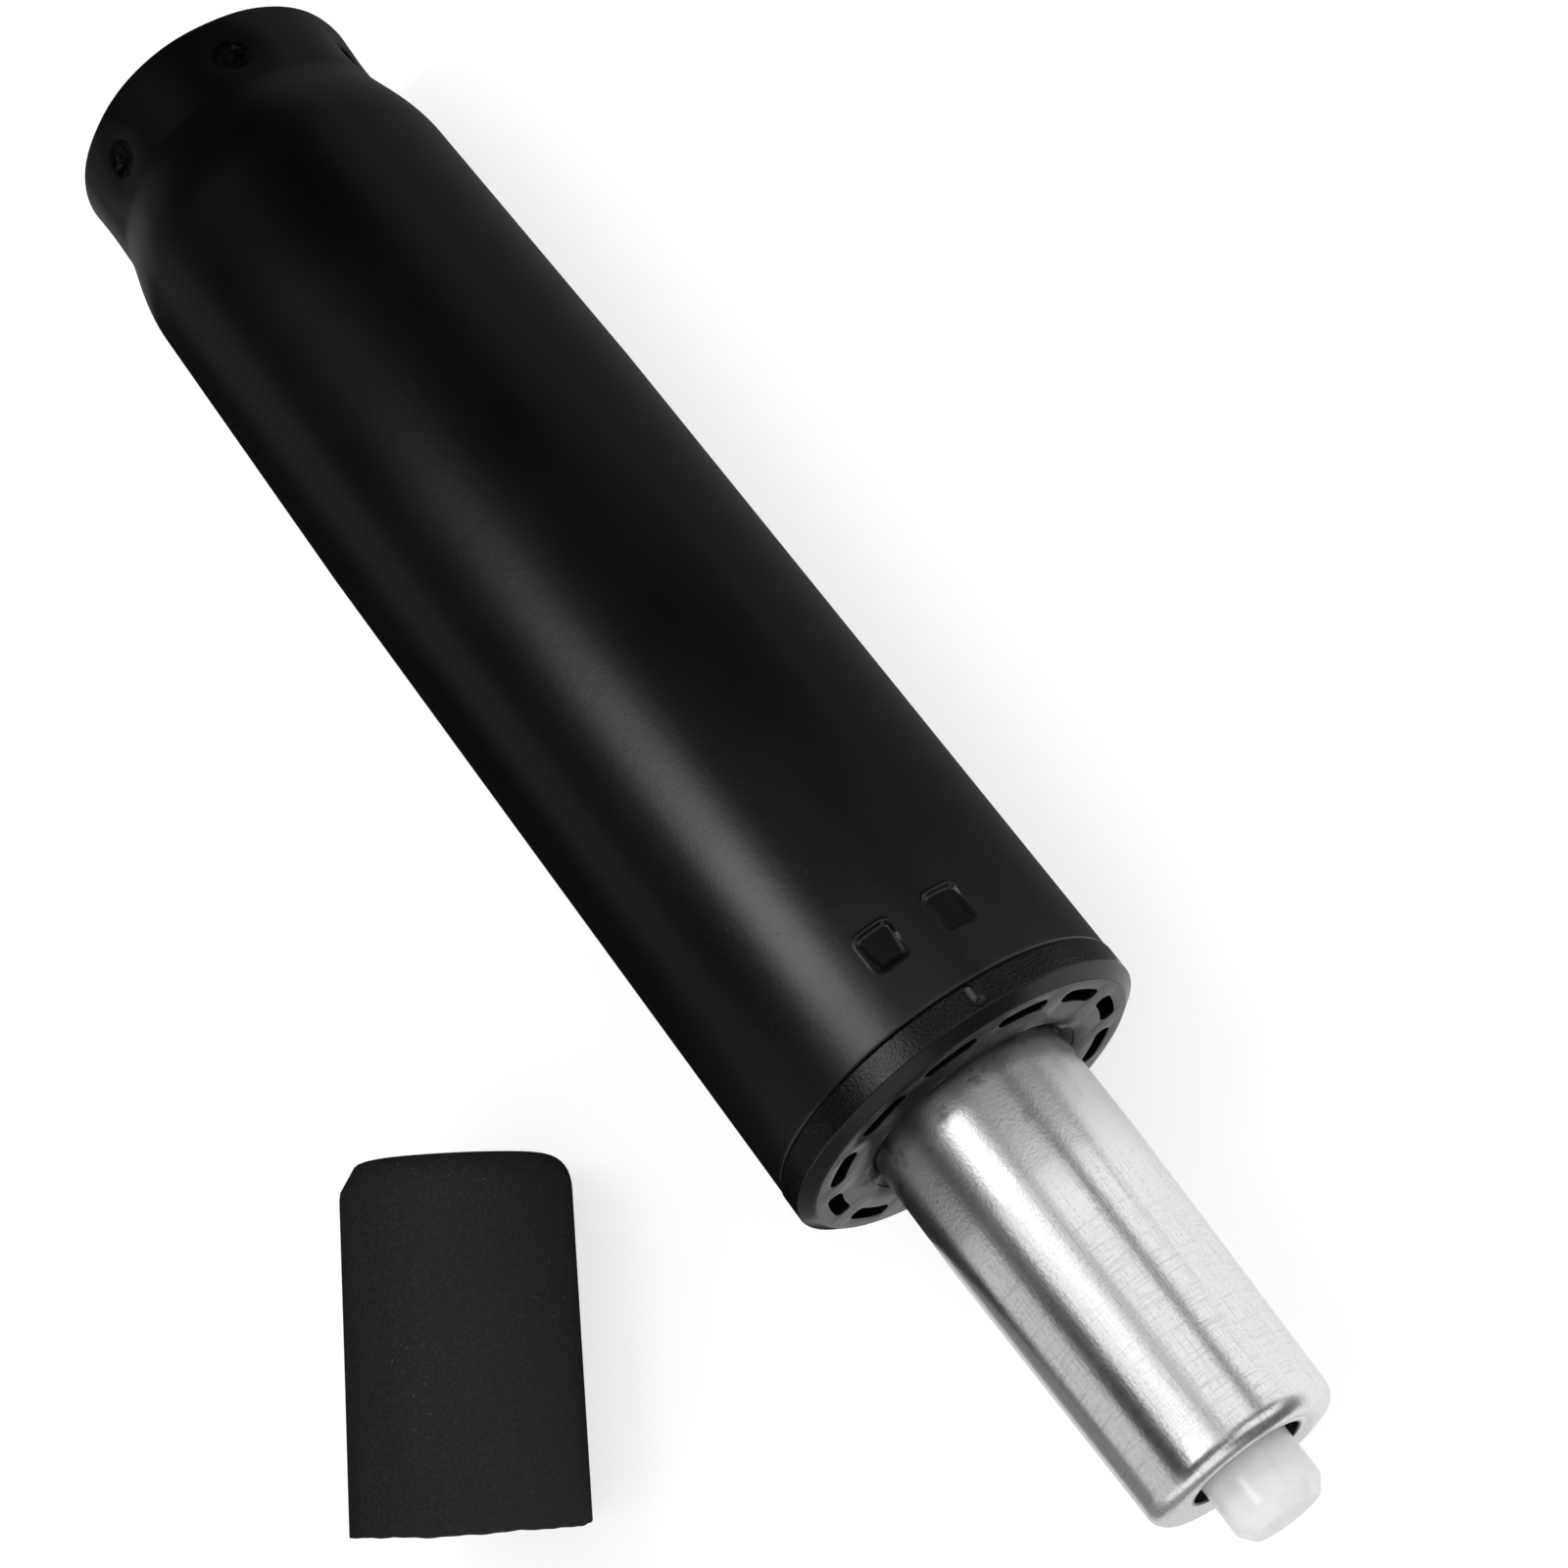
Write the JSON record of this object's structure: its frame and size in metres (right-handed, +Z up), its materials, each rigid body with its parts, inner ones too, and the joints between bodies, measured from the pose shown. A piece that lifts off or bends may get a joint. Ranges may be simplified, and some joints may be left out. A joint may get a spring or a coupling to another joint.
{
  "type": "chair gas lift cylinder",
  "caption": "Telescopic chair column: painted stand tube with a moulded guide bush, and a lockable gas spring inside that lifts, swivels and is released by an end button, with a slip-on cap.",
  "frame": {"origin": "centre of the stand tube's base rim, on the column's axis", "axes": "+X along the column's axis from the base rim to the release button, +Z up as the column lies on its side"},
  "size_m": [0.2466, 0.1343, 0.0503],
  "materials": {
    "tube_paint": "satin black paint",
    "bush_plastic": "fine moulded texture",
    "plated_steel": "zinc plated",
    "bearing_steel": "ground",
    "cage_plastic": "moulded nylon",
    "rod_chrome": "hard chrome, ground",
    "spring_clip": "blackened spring steel",
    "seal_rubber": "matt",
    "turned_aluminium": "turned",
    "spring_steel": "bright drawn, ground cone",
    "guide_plastic": "moulded",
    "button_nylon": "natural nylon",
    "cap_vinyl": "matt dipped vinyl"
  },
  "bodies": {
    "stand": {"outer_tube": "tube_paint", "guide_bush": "bush_plastic", "base_plate": "plated_steel", "lower_race": "bearing_steel"},
    "cage": {"ball_cage": "cage_plastic", "bearing_balls": "bearing_steel"},
    "rod": {"upper_race": "bearing_steel", "piston_rod": "rod_chrome", "clip_washer": "plated_steel", "retaining_clip": "spring_clip", "bumper_washer": "plated_steel", "rubber_bumper": "seal_rubber", "piston": "turned_aluminium", "piston_seal": "seal_rubber", "piston_nut": "plated_steel"},
    "cylinder": {"pressure_tube": "spring_steel", "inner_tube": "plated_steel", "seal_washer": "plated_steel", "rod_seal": "seal_rubber", "rod_guide": "guide_plastic", "valve_body": "guide_plastic", "valve_o_rings": "seal_rubber", "pin_o_ring": "seal_rubber"},
    "button": {"release_button": "button_nylon", "valve_pin": "plated_steel"},
    "cap": {"protective_cap": "cap_vinyl"}
  },
  "joints": [
    {"name": "swivel", "type": "hinge", "parent": "stand", "child": "rod", "pos_m": [0, 0, 0], "axis": [1, 0, 0], "continuous": true},
    {"name": "cage_spin", "type": "hinge", "parent": "stand", "child": "cage", "pos_m": [0, 0, 0], "axis": [1, 0, 0], "continuous": true},
    {"name": "lift", "type": "slide", "parent": "rod", "child": "cylinder", "axis": [1, 0, 0], "range_m": [0, 0.1]},
    {"name": "button_press", "type": "slide", "parent": "cylinder", "child": "button", "axis": [-1, 0, 0], "range_m": [0, 0.004], "stiffness_N_per_m": 2000, "springref_m": -0.002},
    {"name": "cap_lift", "type": "slide", "parent": "stand", "child": "cap", "axis": [0, 0, 1], "range_m": [0, 0.1]}
  ],
  "couplings": [
    {"joint": "cage_spin", "follows": "swivel", "ratio": 0.5}
  ]
}
